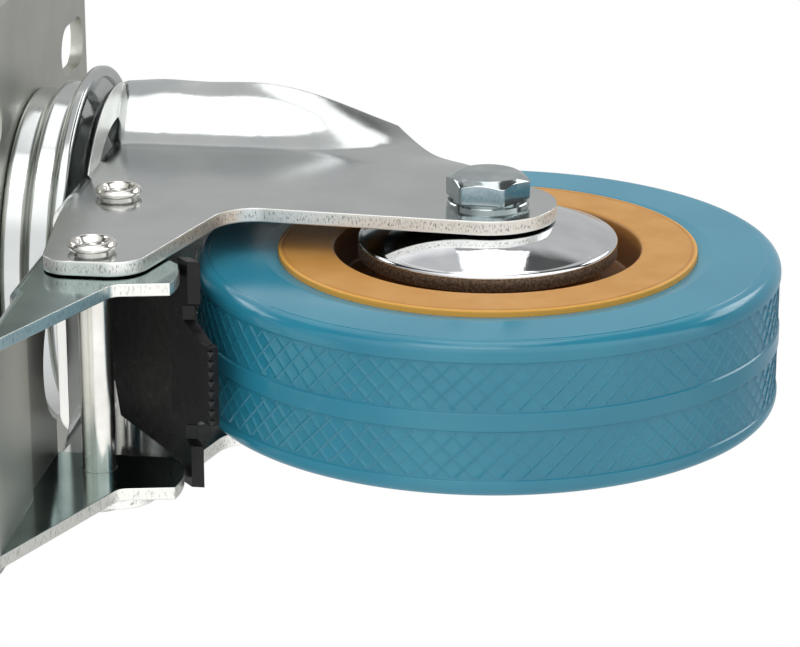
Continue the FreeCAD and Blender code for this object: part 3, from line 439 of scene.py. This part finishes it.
def makeTyre(size):
    # Rows run along the closed outline of the section and columns round the wheel. On the two bands, a
    # point stands proud by the ridge height where row plus column, or row minus column, is a whole number
    # of diamonds, so the lines run at 45 degrees because rows and columns are equally far apart.
    cells, bandRows = size["cells"], size["bandRows"] + 1
    columns = size["diamonds"] * cells
    low = size["radius"] - size["recess"]
    pitch = 2 * np.pi * low / columns
    middle = (size["bandEdge"] + size["ribHalf"]) / 2
    rows = np.arange(bandRows)
    half, first = tyreSection(size, low, middle + (size["bandRows"] / 2 - rows) * pitch)
    profile = np.vstack([half, half[::-1] * [1, -1]])
    last = len(profile) - first - bandRows
    j = np.arange(columns)
    crossed = ((rows[:, None] + j) % cells == 0) | ((j - rows[:, None]) % cells == 0)
    inside = (rows > 0) & (rows < size["bandRows"])
    raised = np.where(crossed & inside[:, None], size["ridge"], 0.0)
    radius = profile[:, :1] * np.ones(columns)
    radius[first:first + bandRows] += raised
    radius[last:last + bandRows] += raised[::-1]
    along = profile[:, 1:] * np.ones(columns)
    angle = j * 2 * np.pi / columns
    points = np.stack([radius * np.cos(angle) + axleX, along, radius * np.sin(angle) + axleZ], axis=-1)
    quads = ringFaces(len(profile), columns)
    faces = ridgeTriangles(quads, bandRows, cells, first, last, columns)
    piece = meshFrom("wheelTyre", points.reshape(-1, 3), faces)
    finishSurface(piece, 25)
    return piece


tyre = makeTyre(tyreSize)
tyre.data.materials.append(rubber)
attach(tyre, "wheel")
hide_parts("tyre")
print("stage: tyre", len(tyre.data.polygons))


# Hub: a moulded web wheel centre with a bead round the outer lip, a deep pocket and bearing seats.

hubSize = {
    "seat": 40.0, "flange": 13.4, "lip": 44.7, "half": 17.2, "pocket": 32.8, "floor": 8.7, "boss": 23.5,
    "bossHalf": 17.4, "bearing": 17.5, "bearingFloor": 6.4, "bore": 14.0,
}


def makeHub(size):
    half = size["half"]
    corners = [
        (size["bore"], size["bearingFloor"], 0.3), (size["bearing"], size["bearingFloor"], 0.2),
        (size["bearing"], size["bossHalf"], 0.3), (size["boss"], size["bossHalf"], 0.8),
        (size["boss"] + 0.8, size["floor"], 1.0), (size["pocket"] - 1.2, size["floor"], 1.0),
        (size["pocket"], half, 0.9), (size["lip"] - 1.3, half - 0.02, 0.15),
        (size["lip"] - 1.15, half - 0.22, 0.1), (size["lip"] - 0.95, half - 0.2, 0.1),
        (size["lip"] - 0.8, half, 0.15), (size["lip"], half, 0.4), (size["lip"], size["flange"], 0.2),
        (size["seat"], size["flange"], 0.2)]
    profile = roundedProfile(mirroredProfile(corners))
    return turnedRing("wheelHub", profile, "Y", 240, (axleX, 0, axleZ), 40)


hub = makeHub(hubSize)
hub.data.materials.append(nylon)
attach(hub, "wheel")
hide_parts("hub")


# Thread guards: thin pressed domes with a rolled rim and a short skirt.

guardSize = {
    "rim": 27.8, "top": 23.6, "rimAlong": 18.8, "skirt": 3.4, "sheet": 1.0, "flat": 9.5, "hole": 5.2,
    "bulge": 48.65, "rimRound": 0.9,
}


def bulgedArc(radius, start, end, count):
    # Points on an arc of the radius from start to end, which bulges away from the middle plane.
    start, end = np.array(start), np.array(end)
    chord = end - start
    length = np.linalg.norm(chord)
    across = np.array([chord[1], -chord[0]]) / length
    centre = (start + end) / 2 + across * math.sqrt(radius ** 2 - length ** 2 / 4)
    first, last = [math.atan2(*(spot - centre)[::-1]) for spot in (start, end)]
    sweep = (last - first + math.pi) % (2 * math.pi) - math.pi
    angles = first + sweep * np.linspace(0, 1, count)
    return centre + radius * np.stack([np.cos(angles), np.sin(angles)], axis=-1)


def makeGuard(name, size, sign):
    # The dome is an arc of the bulge radius from the flat's edge to the rim, offset inwards by the sheet.
    rim, sheet, low = size["rim"], size["sheet"], size["rimAlong"]
    outer = bulgedArc(size["bulge"], (size["flat"], size["top"]), (rim - size["rimRound"], low + 0.35), 36)
    innerEnd = (rim - sheet - 0.3, low - sheet * 0.5)
    inner = bulgedArc(size["bulge"], (size["flat"], size["top"] - sheet), innerEnd, 24)
    turn = np.radians(np.linspace(65, -5, 8))
    lip = np.array([rim - size["rimRound"], low - 0.5])
    lip = lip + size["rimRound"] * np.stack([np.cos(turn), np.sin(turn)], axis=-1)
    foot = low - size["skirt"]
    skirt = np.array([(rim - 0.15, low - 1.2), (rim - 0.15, foot + 0.2), (rim - 0.35, foot),
                      (rim - sheet, foot), (rim - sheet, low - 1.2)])
    profile = np.vstack([[(size["hole"], size["top"])], outer, lip, skirt, inner[::-1],
                         [(size["hole"], size["top"] - sheet)]])
    profile[:, 1] *= sign
    return turnedRing(name, profile, "Y", 240, (axleX, 0, axleZ), 50)


for name, node, sign in (("guardNear", "left_guard", -1), ("guardFar", "right_guard", 1)):
    guard = makeGuard(name, guardSize, sign)
    guard.data.materials.append(chrome)
    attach(guard, "frame")
    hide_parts(node)
print("stage: hub and guards")


# Bearing cup: a pressed bowl under the plate with two soft steps and a flared, rolled lip.

cupSize = {
    "hole": 6.0, "top": -3.0, "radius": 37.2, "wide": 39.0, "draft": 0.75, "neckFoot": -8.2, "bandTop": -10.0,
    "sheet": 2.5, "lipRadius": 42.3, "lipTop": -15.86, "lipFoot": -18.26,
}


def makeCup(size):
    # Both walls lean in towards the foot by the draft, as the press leaves them.
    sheet, inner, draft = size["sheet"], size["radius"] - size["sheet"], size["draft"]
    corners = [
        (size["hole"], size["top"], 0), (size["radius"], size["top"], 1.2),
        (size["radius"] - draft, size["neckFoot"], 1.2), (size["wide"], size["bandTop"], 1.2),
        (size["wide"] - draft, size["lipTop"] + sheet - 1.2, 1.2), (size["lipRadius"], size["lipTop"], 1.0),
        (size["lipRadius"], size["lipFoot"], 0.8), (size["lipRadius"] - sheet, size["lipFoot"], 0.8),
        (size["lipRadius"] - sheet, size["lipTop"] - 0.6, 0.5),
        (size["wide"] - sheet, size["lipTop"] + sheet, 0.5),
        (size["wide"] - sheet, size["bandTop"] - 0.6, 0.5), (inner - draft, size["neckFoot"] - 0.6, 0.5),
        (inner, size["top"] - sheet, 0.8), (size["hole"], size["top"] - sheet, 0)]
    return turnedRing("bearingCup", roundedProfile(corners, 10), "Z", 240, sharp=40)


cup = makeCup(cupSize)
cup.data.materials.append(cupZinc)
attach(cup, "head")
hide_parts("bearing_cup")


# Rivets of the brake: plain shanks across the fork with a rolled, hollow head at each end.

rivetSize = {"shank": 3.5, "face": 26.6, "raise": 2.3, "head": 5.0, "recess": 3.2, "depth": 1.4}


def makeRivet(name, size, centre):
    top = size["face"] + size["raise"]
    corners = [
        (0.0, top - size["depth"], 0), (size["recess"] * 0.8, top - size["depth"], 0.5),
        (size["recess"], top - 0.3, 0.3), (size["recess"] + 0.3, top, 0.3), (size["head"] - 0.6, top, 0.6),
        (size["head"], top - 0.8, 0.6), (size["head"], size["face"] + 0.9, 0.4),
        (size["head"] - 0.8, size["face"] + 0.5, 0.2), (size["head"] - 0.8, size["face"], 0.0),
        (size["shank"], size["face"], 0)]
    return turnedRing(name, roundedProfile(mirroredProfile(corners)), "Y", 64, centre, 40)


# Axle bolt: a hexagon head with rounded edges and a chamfered end, a thin flange, and a plain shank that
# shows its thread past the nut.

boltSize = {
    "across": 16.0, "corner": 1.2, "first": -94.5, "top": 33.0, "flat": 6.7, "headFoot": 27.75, "neck": 7.6,
    "flange": 8.8, "flangeTop": 27.4, "face": 26.6, "shank": 5.0, "tail": 38.8, "threadFrom": 36.5,
    "pitch": 1.5, "threadDepth": 0.45,
}


def makeBolt(size):
    # Columns run round the axle, dense at the six corners. At an angle from its nearest corner, the head's
    # radius is that of the flat side, or of the small circle that rounds the corner.
    sixth = math.radians(30)
    half, radius = size["across"] / 2, size["corner"]
    middle = (half - radius) / math.cos(sixth)
    bendEnd = 30 - math.degrees(math.atan(middle * math.sin(sixth) / half))
    steps = [*np.linspace(0, bendEnd, 8), bendEnd + 0.6, 8, 14, 20, 26]
    spread = sorted([-step for step in steps[1:]] + steps + [30])
    angle = np.array([size["first"] + 60 * corner + step for corner in range(6) for step in spread])
    off = np.radians(np.tile(np.abs(spread), 6))
    flat = half / np.cos(sixth - off)
    bend = middle * np.cos(off) + np.sqrt(np.maximum(radius ** 2 - (middle * np.sin(off)) ** 2, 0))
    head = np.where(np.degrees(off) < bendEnd, bend, flat)
    top, foot = size["top"], size["headFoot"]
    edge = top - (head - size["flat"]) * math.tan(sixth)
    ones = np.ones_like(head)
    ring, neck = size["flange"] * ones, size["neck"] * ones
    disc, shank = size["flat"] * ones, size["shank"] * ones
    rows = [(0 * ones, top), (disc * 0.9, top), (disc - 0.15, top), (disc + 0.15, top - 0.1),
            (head - 0.3, edge + 0.17), (head - 0.1, edge + 0.02), (head, edge - 0.15), (head, edge - 0.6),
            (head, foot + 0.7), (head, foot + 0.35), (head - 0.25, foot + 0.05), (head - 0.5, foot),
            (neck, foot), (neck, size["flangeTop"]), (ring - 0.25, size["flangeTop"]),
            (ring, size["flangeTop"] - 0.2), (ring, size["face"]), (shank, size["face"]),
            (shank, -size["threadFrom"] + size["pitch"])]
    shown = np.arange(0, size["tail"] - 0.8 - size["threadFrom"], size["pitch"] / 8)
    for along in shown:
        depth = size["threadDepth"] * abs((along / size["pitch"]) % 1 * 2 - 1)
        rows.append((shank - depth, -size["threadFrom"] - along))
    rows += [(shank - 0.9, -size["tail"]), (0 * ones, -size["tail"])]
    turn = np.radians(angle)
    layers = [np.stack([across * np.cos(turn), -along * ones, across * np.sin(turn)], axis=-1)
              for across, along in rows]
    points = np.concatenate(layers) + [axleX, 0, axleZ]
    quads = ringFaces(len(rows), len(angle))[:-len(angle)]
    piece = meshFrom("axleBolt", points, quads)
    finishSurface(piece, 30)
    return piece


bolt = makeBolt(boltSize)
bolt.data.materials.append(boltZinc)
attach(bolt, "frame")
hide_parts("axle_bolt")


rivetPlaces = (("pedalRivet", "pedal_pin", (-82.3, 0, -35.3)), ("shoeRivet", "shoe_pin", (-44.3, 0, -32.3)))
for name, node, centre in rivetPlaces:
    rivet = makeRivet(name, rivetSize, centre)
    rivet.data.materials.append(pinSteel)
    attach(rivet, "frame")
    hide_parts(node)
print("stage: cup, bolt and rivets")


# Carried-over pieces take their finishes.

carried = {
    "top_plate": plateZinc, "kingpin": pinSteel, "kingpin_collar": pinSteel, "lower_race": raceSteel,
    "upper_balls": ballSteel, "lower_balls": ballSteel, "left_balls": ballSteel, "right_balls": ballSteel,
    "fork": forkZinc, "axle_nut": boltZinc, "axle_washer": boltZinc,
    "axle_sleeve": raceSteel, "left_inner_ring": raceSteel, "right_inner_ring": raceSteel,
    "left_outer_ring": raceSteel, "right_outer_ring": raceSteel, "brake_pedal": pedalZinc,
    "brake_shoe": oxide,
}
for name, material in carried.items():
    nodes[name].data.materials.clear()
    nodes[name].data.materials.append(material)


# Camera: the photograph's place and direction, worked out from the wheel's circles.

cameraSize = {
    "place": (-665.1, -216.7, -175.2), "right": (0.1313, 0.0, -0.9913), "forward": (0.9371, 0.3263, 0.1241),
    "lens": 139.27, "sensor": 36.0,
}


def makeCamera(size):
    forward = Vector(size["forward"]).normalized()
    right = Vector(size["right"])
    right = (right - forward * right.dot(forward)).normalized()
    up = right.cross(forward)
    data = bpy.data.cameras.new("photoCamera")
    data.lens, data.sensor_width = size["lens"], size["sensor"]
    data.clip_start, data.clip_end = 0.01, 100.0
    camera = bpy.data.objects.new("photoCamera", data)
    turn = Matrix((right, up, -forward)).transposed()
    camera.matrix_world = Matrix.Translation(Vector(size["place"]) * mm) @ turn.to_4x4()
    bpy.context.collection.objects.link(camera)
    bpy.context.scene.camera = camera
    return right, up, forward


right, up, forward = makeCamera(cameraSize)


# Studio: a white background, and for everything the metal mirrors, a room as the photograph's reflections
# show it: a white table in front, a grey far wall, a dark ceiling with light boxes, and a bright wall above
# the camera. Angles run in degrees from the far horizon over the zenith to the near one, with the table
# below zero.

studioSize = {
    "floor": "E6E6E4", "floorLevel": -173.6, "floorHalf": 900.0,
    "room": [(-180, 1.4), (-120, 1.2), (-60, 0.65), (-19, 0.52), (0, 0.6), (20, 0.6), (44, 0.66), (52, 0.12),
             (96, 0.12), (106, 1.8), (140, 1.8), (152, 1.3), (180, 1.3)],
    "leftShade": 0.35, "away": 1.1,
    "boxes": [
        {"name": "frontBox", "rise": 107, "shift": -0.12, "width": 0.5, "height": 0.59, "radiance": 1.95},
        {"name": "backBox", "rise": 70.5, "shift": 0.07, "width": 0.32, "height": 0.82, "radiance": 1.95},
        {"name": "greyBox", "rise": 68.5, "shift": -0.27, "width": 0.36, "height": 0.91, "radiance": 0.62},
        {"name": "leftBox", "aside": -55, "rise": 33, "width": 0.7, "height": 0.3, "radiance": 3.6},
        {"name": "rightBox", "aside": 55, "rise": 33, "width": 0.7, "height": 0.3, "radiance": 3.6},
    ],
}


overhead = Vector((0, -1, 0))
ahead = Vector((forward.x, 0, forward.z)).normalized()


def shareAlong(tree, place, axis):
    # How far the looked-at direction points along the axis.
    return addNode(tree, "ShaderNodeVectorMath", {1: tuple(axis)}, {0: place.outputs["Generated"]},
                   operation="DOT_PRODUCT").outputs["Value"]


def makeRoom(size):
    world = bpy.data.worlds.new("studioRoom")
    world.use_nodes = True
    tree = world.node_tree
    tree.nodes.clear()
    place = addNode(tree, "ShaderNodeTexCoord")
    shares = [shareAlong(tree, place, axis) for axis in (overhead, ahead)]
    arc = addNode(tree, "ShaderNodeMath", operation="ARCTAN2", links={0: shares[0], 1: shares[1]})
    turn = ranged(tree, arc.outputs[0], 0.0, 1.0, -math.pi, math.pi)
    ramp = addNode(tree, "ShaderNodeValToRGB", links={"Fac": turn.outputs[0]})
    brightest = max(level for angle, level in size["room"])
    stops = ramp.color_ramp.elements
    while len(stops) < len(size["room"]):
        stops.new(0.5)
    for stop, (angle, level) in zip(stops, size["room"]):
        stop.position = (angle + 180) / 360
        stop.color = (level / brightest,) * 3 + (1,)
    # The mounting side of the room, to the picture's left, is darker.
    aside = shareAlong(tree, place, right)
    shade = ranged(tree, aside, size["leftShade"] * brightest, brightest, -0.85, -0.35)
    mirrored = addNode(tree, "ShaderNodeBackground",
                       links={"Color": ramp.outputs["Color"], "Strength": shade.outputs[0]})
    seen = addNode(tree, "ShaderNodeBackground", {"Color": (1, 1, 1, 1), "Strength": 1.0})
    ray = addNode(tree, "ShaderNodeLightPath")
    both = addNode(tree, "ShaderNodeMixShader",
                   links={0: ray.outputs["Is Camera Ray"], 1: mirrored.outputs[0], 2: seen.outputs[0]})
    addNode(tree, "ShaderNodeOutputWorld", links={"Surface": both.outputs[0]})
    bpy.context.scene.world = world


def makeBox(box, away):
    # A light box that faces the caster. Its radiance is what a mirror shows, so its power follows its area.
    light = bpy.data.lights.new(box["name"], "AREA")
    light.shape, light.size, light.size_y = "RECTANGLE", box["width"], box["height"]
    light.energy = box["radiance"] * math.pi * box["width"] * box["height"]
    aside, rise = math.radians(box.get("aside", 0)), math.radians(box["rise"])
    level = ahead * math.cos(aside) + right * math.sin(aside)
    towards = level * math.cos(rise) + overhead * math.sin(rise)
    across = towards.cross(overhead).normalized()
    turned = Matrix((across, towards.cross(across), towards)).transposed()
    lamp = bpy.data.objects.new(box["name"], light)
    spot = Vector((axleX, 0, -85)) * mm + towards * away + right * box.get("shift", 0)
    lamp.matrix_world = Matrix.Translation(spot) @ turned.to_4x4()
    bpy.context.collection.objects.link(lamp)


def makeFloor(size):
    # The floor is painted on its upper side only, so that a view from below looks through it.
    reach, level = size["floorHalf"], size["floorLevel"]
    corners = np.array([(-reach, -reach, level), (reach, -reach, level),
                        (reach, reach, level), (-reach, reach, level)])
    floor = meshFrom("studioFloor", corners, np.array([[0, 1, 2, 3]]))
    paint = bpy.data.materials.new("paleFloorPaint")
    paint.use_nodes = True
    tree = paint.node_tree
    tree.nodes.clear()
    side = addNode(tree, "ShaderNodeNewGeometry")
    matt = addNode(tree, "ShaderNodeBsdfDiffuse", {"Color": fromHex(size["floor"])})
    clear = addNode(tree, "ShaderNodeBsdfTransparent")
    both = addNode(tree, "ShaderNodeMixShader",
                   links={0: side.outputs["Backfacing"], 1: matt.outputs[0], 2: clear.outputs[0]})
    addNode(tree, "ShaderNodeOutputMaterial", links={"Surface": both.outputs[0]})
    floor.data.materials.append(paint)
    # The caster lies on its side in the photograph, so the floor takes no part in what the metal mirrors.
    floor.visible_glossy = False
    floor.visible_shadow = False


makeRoom(studioSize)
for box in studioSize["boxes"]:
    makeBox(box, studioSize["away"])
makeFloor(studioSize)
bpy.context.scene.view_settings.view_transform = "Standard"
print("stage: camera and studio")
